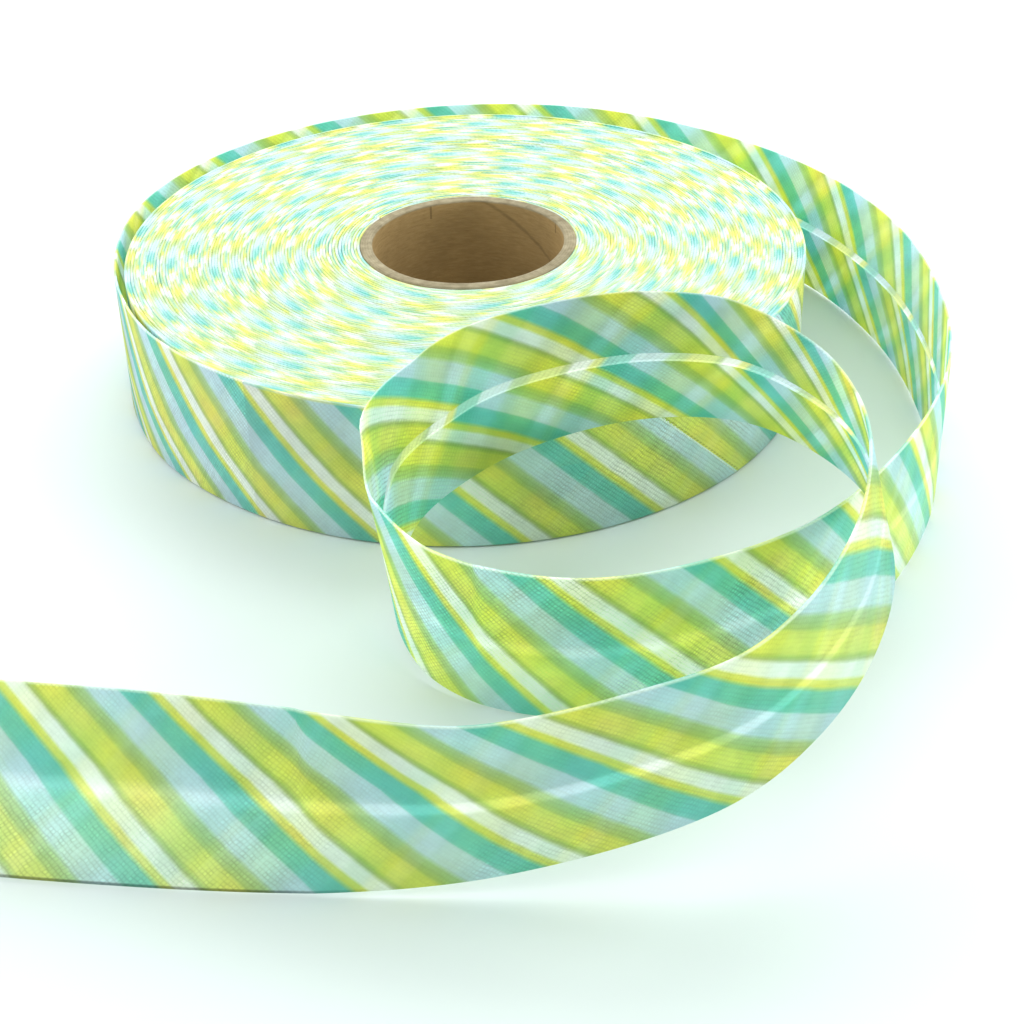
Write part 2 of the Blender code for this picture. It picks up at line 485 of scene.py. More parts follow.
def weave_group():
    tree, given = new_tree("plain weave on the bias", "ShaderNodeTree",
                           {"Along": 0.0, "Across": 0.0, **WEAVE_NUMBERS, "Contrast": 1.0},
                           {"Height": "Float", "Shade": "Float"})
    along, across = given["Along"], given["Across"]
    place = point(along, across)
    sway = (noise(place, scale=380.0, detail=1.0) - 0.5) * given["Sway"]

    def threads(slanted, pitch, roundness, seed):
        """How high a point lies on its thread, the thread's own chance, and its number."""
        count = (slanted + sway) * math.sqrt(0.5) / pitch
        number = maths("FLOOR", count)
        chance = fed("ShaderNodeTexWhiteNoise", {"W": number + seed}, "Value", noise_dimensions="1D")
        back = maths("POWER", maths("ABSOLUTE", maths("SINE", count * math.pi)), roundness)
        return back, chance, number

    warp_back, warp_chance, warp = threads(along + across, given["Warp Pitch"], WARP_ROUNDNESS, 17.0)
    weft_back, weft_chance, weft = threads(along - across, given["Weft Pitch"], WEFT_ROUNDNESS, 59.0)
    height = warp_back * weft_back
    chances = (warp_chance + weft_chance) * 0.5
    crossing = fed("ShaderNodeTexWhiteNoise", {"Vector": point(warp, weft)}, "Value", noise_dimensions="2D")
    contrast = height * HEIGHT_SHADE + (chances * THREAD_SHADE - MIDDLE_SHADE)
    contrast = contrast - crossing * (1.0 - height) * HOLE_SHADE
    contrast = contrast + maths("GREATER_THAN", crossing, GLINT_FROM) * height * GLINT_SHADE
    strength = mapped(noise(place, scale=38.0, detail=2.0), 0.40, 0.62, FAINT, STRONG)
    add_node(tree, "NodeGroupOutput", {
        "Height": height * (chances * 0.5 + 0.6),
        "Shade": contrast * given["Contrast"] * strength + PLAIN_SHADE})
    return tree


WEAVE = weave_group()
print("threads, mm apart:", round(WARP_PITCH / MM, 2), "and", round(WEFT_PITCH / MM, 2))

# %% [markdown]
# ## The roll's measures
#
# The roll's axis is the core's, read from the frame. On the roll the tape is drawn a little
# longer than it is when it lies loose, and its edges stand a hair above the table, so that a thin
# dark line shows under them. The tube isn't wound quite in the middle: it stands aside.

# %% The roll's measures
core_low, core_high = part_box("core")
AXIS = (core_low + core_high) / 2
PITCH = 0.6 * MM
ROLL_STRETCH = 27.76 / 27.0
FOOT = 0.3 * MM
ROLL_RADIUS = 72.0 * MM
OUTER_MIDDLE = ROLL_RADIUS - WOUND_DEPTH / 2
CORE_RADIUS = 22.9 * MM
TUBE_SHIFT = 0.75 * MM
print("axis, mm:", [round(value / MM, 2) for value in AXIS])

# %% [markdown]
# ## Places on the cloth
#
# A fold is 15 mm from the strip's middle on either side, so a place's distance from a fold comes
# from its place across alone, and a stretch of the tape is a range along. The tape's weave shows
# more where it is taut, and the light on it isn't even, which is painted into the colour here:
# stretches lighter or darker, above or below the middle, and a pale painted sheen. It could have a
# painted map, but a short table is enough. Each row gives a stretch its own glow, grain, tone and
# paleness, which fade in and out at its ends.


# %% Places on the cloth
def near_fold(from_fold, full, gone, most):
    """A strength that is most at a fold and gone a fraction of a millimetre away."""
    return mapped(from_fold, full * MM, gone * MM, most, 0.0)


def within(along, start, end, far):
    """1 from start to end along the cloth, fading to 0 over far more, all in millimetres."""
    half = (end - start) / 2
    off_middle = maths("ABSOLUTE", along - (start + end) / 2 * MM)
    return mapped(off_middle, half * MM, (half + far) * MM, 1.0, 0.0)


def by_stretch(along, across, own, stretches):
    """The cloth's own values, changed by the table; a pair is for above and below the middle."""
    above = mapped(across, -3.0 * MM, 3.0 * MM)
    values = list(own)
    for start, end, far, *others in stretches:
        here = within(along, start, end, far)
        for index, other in enumerate(others):
            if isinstance(other, tuple):
                change = above * (other[0] - other[1]) + (other[1] - own[index])
            else:
                change = other - own[index]
            values[index] = here * change + values[index]
    return values


def neighbours_print(along, across):
    """The print on the turns just outside and just inside this one, half and half."""
    spot = source(along.socket.id_data, "ShaderNodeTexCoord", "Object")
    centred = fed("ShaderNodeMapping", {"Vector": spot, "Location": (-AXIS.x, -AXIS.y, 0.0)})
    level = fed("ShaderNodeVectorMath", {0: centred, 1: (1.0, 1.0, 0.0)}, operation="MULTIPLY")
    radius = fed("ShaderNodeVectorMath", {0: level}, "Value", operation="LENGTH")
    one_turn = radius * (math.tau / ROLL_STRETCH)
    step = math.pi * PITCH / ROLL_STRETCH
    outer, inner = along - (one_turn + step), along + (one_turn - step)
    return mixed(0.5, printed(outer, across), printed(inner, across))


# %% [markdown]
# ## The cloth material
#
# Thin cotton lets light through. On the face, the folded flaps behind show faintly as a second
# set of stripes that cross the first, and in the back's gap the wrong side of the face shows, much
# paler. The material asks the stripe group twice: for this layer, and for the place that lies
# just behind it, and mixes a little of the second in. The upper fold edges catch the light from above,
# so a narrow band there is painted paler and brighter, a painted highlight. On the roll the edges lie
# so close that each takes up colour from the turns beside it. Where the tape rests on the table, its
# lower fold is darkened, a painted shade.
#
# A Principled shader carries the colour, roughness, sheen and the weave's bump, and a
# Translucent shader shares in it, because light that falls on the far side glows through. That
# light has crossed two layers, and in real cotton most of the second print is lost on the way. So
# rays other than the camera's get a colour near the print's mean from the flaps.

# %% The cloth material
SHOW_THROUGH = 0.04
WRONG_SIDE_PALE = 0.22
RESTING_SHADE = 0.62
EDGE_HIGHLIGHT_COLOUR = (246, 252, 240)
SHEEN_AND_WRONG_SIDE_COLOUR = (232, 246, 236)
MEAN_PRINT = (204, 223, 194)


def cloth_material(name, glow, contrast, stretches, edge_pale, edge_brighten=0.0, bleed=0.0, fold_calm=0.0,
                   gap_shade=1.0, resting=None, veil=0.0):
    material, tree = new_material(name)
    along, across, _ = numbers_of(source(tree, "ShaderNodeUVMap", uv_map="UVMap"))
    wrong_side = source(tree, "ShaderNodeNewGeometry", "Backfacing")
    # the table's tone and paleness are painted light and shade, and a painted sheen
    glow, grain, tone, pale = by_stretch(along, across, (glow, contrast, 1.0, 0.0), stretches)
    from_middle = maths("ABSOLUTE", across)
    from_fold = maths("ABSOLUTE", from_middle - TAPE_WIDTH / 2)
    in_gap = maths("LESS_THAN", from_middle, BACK_GAP / 2)
    on_flap = maths("GREATER_THAN", from_middle, TAPE_WIDTH / 2)
    upper = maths("GREATER_THAN", across, 0.0)
    behind = maths("SIGN", across) * TAPE_WIDTH - across

    paint = mixed((1.0 - in_gap) * SHOW_THROUGH, printed(along, across), printed(along, behind))
    if bleed:
        paint = mixed(near_fold(from_fold, 0.25, 0.55, bleed) * upper, paint, neighbours_print(along, across))
    # the upper fold edges are painted brighter and paler: a painted highlight
    edge_brightened = mixed(near_fold(from_fold, 0.3, 0.6, edge_brighten) * upper, paint, paint, kind="SCREEN")
    wear_and_highlight = mixed(near_fold(from_fold, 0.0, 0.50, edge_pale) * upper, edge_brightened, from_screen(EDGE_HIGHLIGHT_COLOUR))
    sheen_and_wrong_side = mixed(wrong_side * WRONG_SIDE_PALE + pale, wear_and_highlight, from_screen(SHEEN_AND_WRONG_SIDE_COLOUR))
    # in the back's gap the wrong side is darkened by gap_shade: a painted shade
    turned = scaled(sheen_and_wrong_side, in_gap * wrong_side * (gap_shade - 1.0) + 1.0)

    grain = (1.0 - near_fold(from_fold, 0.25, 0.8, fold_calm)) * grain
    weave = add_node(tree, "ShaderNodeGroup", {"Along": along, "Across": across, **WEAVE_NUMBERS,
                                               "Contrast": grain}, node_tree=WEAVE)
    height, shade = (Output(weave.outputs[title]) for title in ("Height", "Shade"))
    # where the tape rests on the table, its lower fold is darkened: a painted shade
    if resting:
        under = near_fold(from_fold, 0.35, 0.60, RESTING_SHADE) * within(along, *resting) * (1.0 - upper)
        tone = (1.0 - under) * tone
    woven = scaled(turned, shade * tone)
    bump = fed("ShaderNodeBump", {"Strength": 0.6, "Distance": 0.10 * MM, "Height": height})
    cloth = fed("ShaderNodeBsdfPrincipled", {
        "Base Color": woven, "Roughness": 0.85, "Specular IOR Level": 0.25, "Sheen Weight": 0.15,
        "Sheen Roughness": 0.5, "Normal": bump})

    unseen = 1.0 - source(tree, "ShaderNodeLightPath", "Is Camera Ray")
    passing = mixed(on_flap * unseen * veil, woven, from_screen(MEAN_PRINT))
    glowing = fed("ShaderNodeBsdfTranslucent", {"Color": passing, "Normal": bump})
    both = fed("ShaderNodeMixShader", {0: glow, 1: cloth, 2: glowing})
    add_node(tree, "ShaderNodeOutputMaterial", {"Surface": both})
    print(name, "is made of", len(tree.nodes), "nodes")
    return material


# %% [markdown]
# ## The loose end's path
#
# The route is the plain model's own: stations that give the lower edge's place, its height and how
# far the tape leans, joined by a smooth curve. The tape leaves the roll's outer turn without a
# step, so over the first stretch the path slides from the turn's circle to the stations.

# %% The stations
PATH_STEP = 1.5 * MM
# x, y and lift of the lower edge about the roll's axis, in millimetres; lean in degrees
LOOSE_END = (
    (-41.5, -60.1, 0.0, 0.0),
    (-53.6, -49.7, 0.0, 0.0),
    (-63.5, -36.2, 0.0, 0.0),
    (-73.0, -8.0, 0.0, 0.0),
    (-72.0, 22.5, 0.0, 0.0),
    (-58.5, 49.0, 0.0, 0.0),
    (-35.0, 68.5, 0.0, 0.5),
    (-4.0, 77.5, 0.0, 0.0),
    (27.5, 74.0, 0.0, -0.5),
    (56.0, 59.5, 0.0, 2.0),
    (78.0, 36.5, 0.0, 2.0),
    (90.5, 6.5, 0.0, -1.0),
    (94.3, -26.0, 0.0, -1.5),
    (91.0, -58.0, 0.0, 0.0),
    (76.8, -88.5, 0.0, 0.5),
    (54.8, -112.0, 0.0, -1.5),
    (24.0, -123.0, 0.0, -4.0),
    (7.0, -121.0, 0.0, -3.0),
    (-6.5, -112.0, 1.5, -4.0),
    (-12.5, -96.5, 5.0, -5.0),
    (-9.0, -81.5, 11.5, 0.0),
    (3.5, -74.0, 18.5, 6.0),
    (19.0, -73.0, 25.0, 10.0),
    (34.8, -74.5, 29.0, 14.5),
    (49.6, -79.6, 30.8, 18.0),
    (60.5, -90.9, 31.4, 19.5),
    (68.0, -105.6, 30.5, 18.0),
    (69.0, -122.5, 28.0, 12.0),
    (63.2, -138.8, 23.5, 3.5),
    (53.0, -151.0, 17.8, -3.0),
    (39.0, -159.0, 12.0, -4.5),
    (6.0, -163.0, 3.3, -1.0),
    (-28.5, -162.5, 0.0, 19.0),
    (-62.0, -159.0, 0.0, 35.0),
    (-98.0, -153.0, 0.0, 36.0),
)
POINTS_PER_SPAN = 24


def spline_through(stations):
    """Points of a smooth curve through the stations, paced by their distances, lean in radians."""
    points = [Vector((x * MM, y * MM, lift * MM, math.radians(lean))) for x, y, lift, lean in stations]
    points = [2 * points[0] - points[1], *points, 2 * points[-1] - points[-2]]
    curve = []
    for p0, p1, p2, p3 in zip(points, points[1:], points[2:], points[3:]):
        t0 = 0.0
        t1 = t0 + math.sqrt((p1 - p0).xyz.length)
        t2 = t1 + math.sqrt((p2 - p1).xyz.length)
        t3 = t2 + math.sqrt((p3 - p2).xyz.length)
        for step in range(POINTS_PER_SPAN):
            t = t1 + (t2 - t1) * step / POINTS_PER_SPAN
            a1 = p0.lerp(p1, (t - t0) / (t1 - t0))
            a2 = p1.lerp(p2, (t - t1) / (t2 - t1))
            a3 = p2.lerp(p3, (t - t2) / (t3 - t2))
            b1 = a1.lerp(a2, (t - t0) / (t2 - t0))
            b2 = a2.lerp(a3, (t - t1) / (t3 - t1))
            curve.append(b1.lerp(b2, (t - t1) / (t2 - t1)))
    curve.append(points[-2])
    return curve


def spaced_evenly(curve, spacing):
    """The curve's points again, about spacing apart, and the curve's length."""
    lengths = [0.0]
    for here, there in zip(curve, curve[1:]):
        lengths.append(lengths[-1] + (there - here).xyz.length)
    count = round(lengths[-1] / spacing)
    even, span = [], 0
    for index in range(count + 1):
        wanted = lengths[-1] * index / count
        while span < len(curve) - 2 and lengths[span + 1] < wanted:
            span += 1
        share = (wanted - lengths[span]) / (lengths[span + 1] - lengths[span])
        even.append(curve[span].lerp(curve[span + 1], share))
    return even, lengths[-1]


START_ANGLE = math.atan2(LOOSE_END[0][1], LOOSE_END[0][0])
route, route_length = spaced_evenly(spline_through(LOOSE_END), PATH_STEP)
print("loose end, mm:", round(route_length / MM, 1), "in", len(route), "points")

# %% [markdown]
# ## The print along the route
#
# The print's repeats aren't spaced quite evenly, because bias cloth stretches wherever it is
# pulled. One way would be to let a simulation pull the cloth, but a table says it more plainly:
# how many repeats there are from the cut end to each mark, and how the print slants and bends
# there. Its corners are eased, so that no stripe has a kink.
#
# Where the tape comes off the roll, the turn's pull draws the print below the middle ahead. That
# dip fades out before the tape is round the back.

# %% The print's marks
# millimetres from the cut end, repeats of the print up to there, shear of the face, bend of the print
# near the upper fold, slip of the flaps
PRINT_MARKS = (
    (0, -1.06, -0.20, 0.25, 0.0),
    (53, 0.83, -0.02, 0.24, 0.0),
    (65, 1.24, -0.02, 0.30, 0.0),
    (83, 1.85, -0.03, 0.46, 0.0),
    (95, 2.25, -0.06, 0.38, 0.0),
    (113, 2.845, -0.10, 0.18, 0.0),
    (143, 3.875, -0.12, 0.06, 0.0),
    (167, 4.765, -0.11, 0.09, 0.0),
    (205, 6.17, 0.00, 0.0, -0.2),
    (222, 6.83, 0.02, 0.0, -0.2),
    (246, 7.69, 0.00, 0.0, -0.1),
    (270, 8.61, 0.06, 0.0, -0.05),
    (289, 9.34, 0.11, 0.0, 0.0),
    (304, 9.90, 0.09, 0.0, 0.0),
    (345, 11.16, 0.05, 0.0, 0.0),
    (387, 12.68, 0.00, 0.0, 0.0),
    (418, 13.84, 0.00, 0.0, 0.0),
    (440, 14.71, 0.00, 0.0, 0.0),
    (460, 15.60, 0.00, 0.0, 0.0),
    (500, 17.44, 0.05, 0.0, -0.2),
    (522, 18.46, 0.12, 0.0, -0.5),
    (534, 18.91, 0.07, 0.0, -0.5),
    (546, 19.32, 0.02, 0.0, -0.3),
    (565, 20.08, 0.00, 0.0, -0.1),
    (594, 21.14, 0.00, 0.0, 0.0),
    (608, 21.54, 0.00, 0.0, 0.0),
    (670, 23.67, 0.00, 0.0, 0.0),
    (727, 25.67, 0.00, 0.0, 0.0),
    (777, 27.50, 0.00, 0.0, 0.0),
    (829, 29.90, 0.00, 0.0, 0.0),
    (854, 30.92, 0.00, 0.0, 0.0),
)
# the dip where the tape leaves the roll, its growth for each metre, and how far it reaches
DIP = 0.24
DIP_GROWTH = 14.5
DIP_REACH = 55.0 * MM


def between_marks(place, column):
    """A column's value at a place in the table of marks, on straight lines between its rows."""
    for before, after in zip(PRINT_MARKS, PRINT_MARKS[1:]):
        if place <= after[0] or after is PRINT_MARKS[-1]:
            share = (place - before[0]) / (after[0] - before[0])
            return before[column] + (after[column] - before[column]) * share


def marked(column, count, easing=8):
    """A column of the marks at count points from the roll to the cut end, with its corners eased."""
    length = PRINT_MARKS[-1][0]
    exact = [between_marks(length * (1 - index / (count - 1)), column) for index in range(count)]
    eased = []
    for index in range(count):
        near = min(easing, index, count - 1 - index)
        window = exact[index - near:index + near + 1]
        eased.append(sum(window) / len(window))
    return eased


def smooth_step(share):
    share = min(max(share, 0.0), 1.0)
    return share * share * (3 - 2 * share)


def dip_at(gone):
    """How far the print runs ahead below the middle, at a distance from the roll."""
    return -(DIP + DIP_GROWTH * min(gone, DIP_REACH)) * smooth_step(2.0 - gone / DIP_REACH)


places = [repeats * REPEAT for repeats in marked(1, len(route))]
print("repeats on the loose end:", round((places[0] - places[-1]) / REPEAT, 2))

# %% [markdown]
# ## The loose end
#
# The path's points become a chain of edges that carries its numbers, and the sweeping tree does
# the rest. The cloth stays a single surface without thickness of its own, folded double, which is
# how a thin sheet is usually modelled.

# %% The loose end
SETTLE = 55.0 * MM
# millimetres along the cloth: start, end and fade; then glow, grain, and the colour's tone and paleness
# above and below the middle. The tone and paleness are painted light and shade: stretches made
# lighter or darker, and a pale painted sheen.
LOOSE_STRETCHES = (
    (-60, 15, 35, 0.53, 0.60, (1.00, 1.04), (0.02, 0.16)),
    (26, 95, 20, 0.53, 0.45, (0.91, 0.98), (0.00, 0.03)),
    (126, 140, 10, 0.53, 0.45, (1.00, 1.00), (0.08, 0.08)),
    (182, 234, 12, 0.53, 0.60, (0.84, 0.95), (0.00, 0.00)),
    (262, 342, 10, 0.40, 0.95, (1.11, 1.18), (0.00, 0.02)),
    (352, 381, 10, 0.40, 1.00, (1.06, 1.02), (0.00, 0.04)),
    (391, 455, 10, 0.53, 0.30, (1.06, 1.09), (0.05, 0.15)),
    (472, 512, 15, 0.53, 0.45, (0.99, 0.99), (0.08, 0.08)),
    (790, 880, 40, 0.22, 0.90, (0.95, 0.95), (0.00, 0.00)),
)


def loose_points(distances):
    points = []
    for station, gone in zip(route, distances):
        radius = math.hypot(station.x, station.y)
        held = OUTER_MIDDLE + (radius - OUTER_MIDDLE) * smooth_step(gone / SETTLE)
        lift = max(station.z, FOOT) + LOOSE_DEPTH / 2 * abs(math.sin(station.w))
        points.append((AXIS.x + station.x * held / radius, AXIS.y + station.y * held / radius, lift))
    return points


LOOSE_COTTON = cloth_material(
    "striped cotton, loose", glow=0.53, contrast=0.45, stretches=LOOSE_STRETCHES, edge_pale=0.55,
    gap_shade=0.80, resting=(-60, 40, 14), veil=0.7)
count = len(route)
distances = [index * route_length / (count - 1) for index in range(count)]
chain = chain_object(
    "loose chain", loose_points(distances), along=places, lean=[station.w for station in route],
    size=[1 - FOOT / TAPE_WIDTH] * count, dip=[dip_at(gone) for gone in distances],
    shear=marked(2, count), bend=marked(3, count), slip=marked(4, count))
with_tree(chain, SWEEP, section=open_section, material=LOOSE_COTTON)
loose_tape = made_mesh(chain, "loose_tape")
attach(loose_tape, "root")
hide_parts("loose_end")

# %% [markdown]
# ## The wound roll
#
# The roll is the same tape in about eighty turns. It could be a plain ring with a bumpy
# top, but then the folded edges would have no depth and the print on them would be invented. A
# spiral is a rule: each step turns a little and comes out a little. A Geometry Nodes
# tree lays the points of that rule, works out how much cloth has passed, and lets the turns stand
# a little proud or low by noise and by the same profile as the plain model. Seen from above, the
# mottled top then appears by itself, because each turn's folded edge shows its own stripes.
#
# A wound roll isn't a perfect spiral. Its turns sway, and leave small gaps that close towards
# the tube. The inmost turns hug the tube, so the spiral's last turn ends as a circle, and they
# are drawn aside with it.

# %% The turns' places
CLEARANCE = 0.05 * MM
STEPS_PER_TURN = 144
TURNS = (OUTER_MIDDLE - WOUND_DEPTH / 2 - CORE_RADIUS - CLEARANCE) / PITCH
FREE_TURNS, HUG_TURNS = 7.0, 12.0
TURN_SWAY = 0.5 * MM
# the turns between which the outer windings' looseness falls to the inner ones' share of it
LOOSE_FROM, LOOSE_TO, INNER_LOOSENESS = 4.0, 16.0, 0.4


def turn_radius(given, plain, turn, to_tube, calm, unrest):
    """A turn's distance from the axis: the plain spiral's, swaying, loose, and hugging the tube."""
    free = maths("DIVIDE", to_tube, FREE_TURNS, clamp=True)
    hug = maths("SUBTRACT", 1.0, to_tube / HUG_TURNS, clamp=True) * maths("FRACT", to_tube)
    sways = (unrest(0.15, 7.0, scale=0.9, detail=1.0) - 0.5) * calm * free * TURN_SWAY
    looser = mapped(turn, LOOSE_FROM, LOOSE_TO, 1.0, INNER_LOOSENESS)
    gaps = (unrest(2.3, 31.0, scale=1.3, detail=1.0) - 0.5) * (given["Looseness"] * calm * looser * free)
    return plain - hug * given["Pitch"] + sways + gaps


print("turns:", round(TURNS, 1))

# %% [markdown]
# The print on a turn follows from the cloth that has passed before it. Left at that, the mottles
# on the top would be too regular. A winder's tape drifts by a few millimetres, and stripes of one
# colour tend to lie together, so both are added. The first part of the outer turn takes over the
# loose end's dip, so that the print runs on unbroken where the two pieces meet.

# %% The print on the turns
MEETING_RATE = 7.5
MEETING_HUMP = 2.6 * MM


def turn_print(given, plain, turn, calm, unrest):
    """How far along the cloth a point of the spiral is, and the dip of its print."""
    passed = turn * given["Outer Radius"] - turn * turn * (given["Pitch"] * 0.5)
    along = passed * math.tau / given["Stretch"] + given["Print Start"]
    girth = plain * math.tau / given["Stretch"]
    along = along - maths("COSINE", girth * (math.tau / REPEAT)) * calm * given["Lie Together"]
    along = along + (unrest(1.1, 53.0, scale=2.0, detail=2.0) - 0.5) * given["Drift"] * calm
    early = maths("SUBTRACT", 1.0, turn * MEETING_RATE, clamp=True)
    along = along + early * (1.0 - early) * MEETING_HUMP
    return along, early * -DIP


print("the dip ends", round(360 / MEETING_RATE), "degrees round the outer turn")

# %% [markdown]
# The turns also stand at different heights. A curve gives the slow rings that the plain model has
# too, and noise adds a little to each turn. The tree then puts it all together.

# %% The spiral tree
# share of the way out from the core to the wall, millimetres that the turns lie low there
TURN_RINGS = ((0.00, 0.2), (0.12, 0.0), (0.26, 0.4), (0.40, 0.1), (0.55, 0.5), (0.72, 0.1), (0.88, 0.3),
              (1.00, 0.1))


def ring_drop(outward):
    """How low the turns lie at a share of the way out, from a curve through the rings."""
    low = add_node(outward.socket.id_data, "ShaderNodeFloatCurve", {"Value": outward})
    profile = low.mapping.curves[0]
    for place, drop in TURN_RINGS[1:-1]:
        profile.points.new(place, drop)
    profile.points[0].location, profile.points[-1].location = TURN_RINGS[0], TURN_RINGS[-1]
    low.mapping.update()
    return Output(low.outputs[0]) * MM


def spiral_group():
    tree, given = new_tree(
        "spiral of tape", "GeometryNodeTree",
        {"Seedling": "Geometry", "Outer Radius": OUTER_MIDDLE, "Pitch": PITCH, "All Turns": TURNS,
         "First Turn": 0.0, "Last Turn": 1.0, "Steps Per Turn": STEPS_PER_TURN, "Start Angle": START_ANGLE,
         "Print Start": 0.0, "Stretch": ROLL_STRETCH, "Tape Width": TAPE_WIDTH, "Wander": 0.3 * MM,
         "Lie Together": 2.4 * MM, "Drift": 3.6 * MM, "Looseness": 0.25 * MM, "Eccentric": TUBE_SHIFT,
         "Foot": FOOT, "Section": "Object", "Material": "Material"},
        {"Cloth": "Geometry"})
    span = given["Last Turn"] - given["First Turn"]
    steps = maths("ROUND", span * given["Steps Per Turn"])
    line = fed("GeometryNodeMeshLine", {"Count": steps + 1.0})
    turn = (1.0 - source(tree, "GeometryNodeInputIndex") / steps) * span + given["First Turn"]
    angle = turn * math.tau + given["Start Angle"]
    cosine, sine = maths("COSINE", angle), maths("SINE", angle)

    def unrest(climb, start, scale, detail, roughness=0.5):
        """Noise that closes on itself round the roll and changes from turn to turn."""
        return noise(point(cosine, sine, turn * climb + start), scale, detail, roughness)

    calm = maths("MINIMUM", turn, 1.0)
    to_tube = given["All Turns"] - turn
    plain = given["Outer Radius"] - turn * given["Pitch"]
    radius = turn_radius(given, plain, turn, to_tube, calm, unrest)
    aside = maths("POWER", 1.0 - to_tube / given["All Turns"], 2.0) * given["Eccentric"]
    spot = point(cosine * radius + aside + AXIS.x, sine * radius + AXIS.y, given["Foot"])
    along, dip = turn_print(given, plain, turn, calm, unrest)
    outward = maths("SUBTRACT", 1.0, turn / given["All Turns"], clamp=True)
    wander = unrest(0.9, 0.0, scale=1.6, detail=3.0, roughness=0.65) * calm * given["Wander"]
    lost = (wander + ring_drop(outward)) * calm + given["Foot"]
    carried = fed("GeometryNodeSetPosition", {"Geometry": line, "Position": spot})
    for title, value in (("along", along), ("size", 1.0 - lost / given["Tape Width"]), ("dip", dip)):
        carried = fed("GeometryNodeStoreNamedAttribute", {"Geometry": carried, "Name": title, "Value": value},
                      data_type="FLOAT", domain="POINT")
    swept = fed("GeometryNodeGroup", {"Path": carried, "Section": given["Section"], "Close Ends": True,
                                      "Material": given["Material"]}, node_tree=SWEEP)
    add_node(tree, "NodeGroupOutput", {"Cloth": swept})
    return tree


SPIRAL = spiral_group()
print("spiral tree:", len(SPIRAL.nodes), "nodes")

# %% [markdown]
# ## The rings of the roll
#
# Eighty turns are too many faces for one piece. They could be thinned out, but the outer and the
# inner turns need the same steps to stay round, so the roll is made in three rings that follow
# each other on the same spiral. Each is one run of the tree with its own first and last turn. The
# wound cloth shows only its outer face and its edges, so its material glows less, has more grain
# on the wall and less on the edges, and its own short table of stretches.

# %% The rings of the roll
# same columns; the tone paints light and shade: a darker stretch, a short highlight, a shaded lower half
WOUND_STRETCHES = (
    (812, 856, 10, 0.22, 0.50, (0.83, 0.90), (0.00, 0.00)),
    (866, 877, 10, 0.22, 0.60, (1.20, 1.20), (0.00, 0.00)),
    (887, 925, 10, 0.22, 1.00, (1.02, 0.91), (0.00, 0.00)),
)
WOUND_COTTON = cloth_material(
    "striped cotton, wound", glow=0.22, contrast=1.3, stretches=WOUND_STRETCHES, edge_pale=0.05,
    edge_brighten=0.22, bleed=0.62, fold_calm=0.8)
RING_TURNS = (0.0, 26.0, 53.0, TURNS)
for number, (first, last) in enumerate(zip(RING_TURNS, RING_TURNS[1:]), 1):
    ring = with_tree(seedling(), SPIRAL, first_turn=first, last_turn=last, print_start=places[0],
                     section=closed_section, material=WOUND_COTTON)
    turns = made_mesh(ring, f"wound_turns_{number}")
    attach(turns, "root")
    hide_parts("wound_tape")

for spare in (open_section, closed_section):
    bpy.data.objects.remove(spare)

# %% [markdown]
# ## The join's stitches
#
# Where two strips were sewn together, a row of short pale stitches crosses the outer turn at 45
# degrees. Things that repeat along a line are what Geometry Nodes do best: the tree lays points on
# the line, bends the line round the roll, puts one small stitch on each point and turns it
# along the line. The spacing, slope and size are named inputs, so another thread or stitch
# length is one number away. The row's place comes from the print's own join, so they can't drift
# apart.

# %% The stitches
ROW_MARGIN, ROW_INSET = 1.2 * MM, 1.6 * MM
STITCHES_ASIDE = 0.3 * MM


def stitches_group():
    tree, given = new_tree(
        "row of stitches", "GeometryNodeTree",
        {"Seedling": "Geometry", "Radius": OUTER_MIDDLE + WOUND_DEPTH / 2, "Middle Angle": 0.0,
         "Slope": JOIN_SLANT, "Tape Width": TAPE_WIDTH, "Spacing": 1.15 * MM, "Length": 0.75 * MM,
         "Thickness": 0.20 * MM, "Material": "Material"},
        {"Thread": "Geometry"})
    slant = maths("ARCTANGENT", given["Slope"])
    row = (given["Tape Width"] - ROW_MARGIN) / maths("COSINE", slant)
    count = maths("FLOOR", row / given["Spacing"])
    line = fed("GeometryNodeMeshLine", {"Count": count})
    share = source(tree, "GeometryNodeInputIndex") / (count - 1.0) - 0.5
    rise = share * (given["Tape Width"] - ROW_INSET)
    angle = given["Middle Angle"] - rise * given["Slope"] / given["Radius"]
    spot = point(maths("COSINE", angle) * given["Radius"] + AXIS.x,
                 maths("SINE", angle) * given["Radius"] + AXIS.y, given["Tape Width"] * 0.5 + rise)
    placed = fed("GeometryNodeSetPosition", {"Geometry": line, "Position": spot})
    bead = source(tree, "GeometryNodeMeshUVSphere", sockets={"Segments": 8, "Rings": 6, "Radius": 0.5})
    size = point(given["Thickness"], given["Length"], given["Thickness"])
    stitch = fed("GeometryNodeTransform", {"Geometry": bead, "Scale": size})
    lean = fed("FunctionNodeEulerToRotation", {"Euler": point(x=slant - math.pi / 2)})
    facing = fed("FunctionNodeEulerToRotation", {"Euler": point(z=angle)})
    turned = fed("FunctionNodeRotateRotation", {"Rotation": facing, "Rotate By": lean}, rotation_space="LOCAL")
    sewn = fed("GeometryNodeInstanceOnPoints", {"Points": placed, "Instance": stitch, "Rotation": turned})
    add_node(tree, "NodeGroupOutput", {"Thread": finished(sewn, given["Material"])})
    return tree


def thread_material():
    material, tree = new_material("pale thread")
    twist = noise(source(tree, "ShaderNodeTexCoord", "Object"), scale=4000.0, detail=2.0)
    tint = ramp(((0.3, (206, 224, 214)), (0.7, (240, 248, 240))), twist)
    thread = fed("ShaderNodeBsdfPrincipled", {"Base Color": tint, "Roughness": 0.7})
    add_node(tree, "ShaderNodeOutputMaterial", {"Surface": thread})
    return material


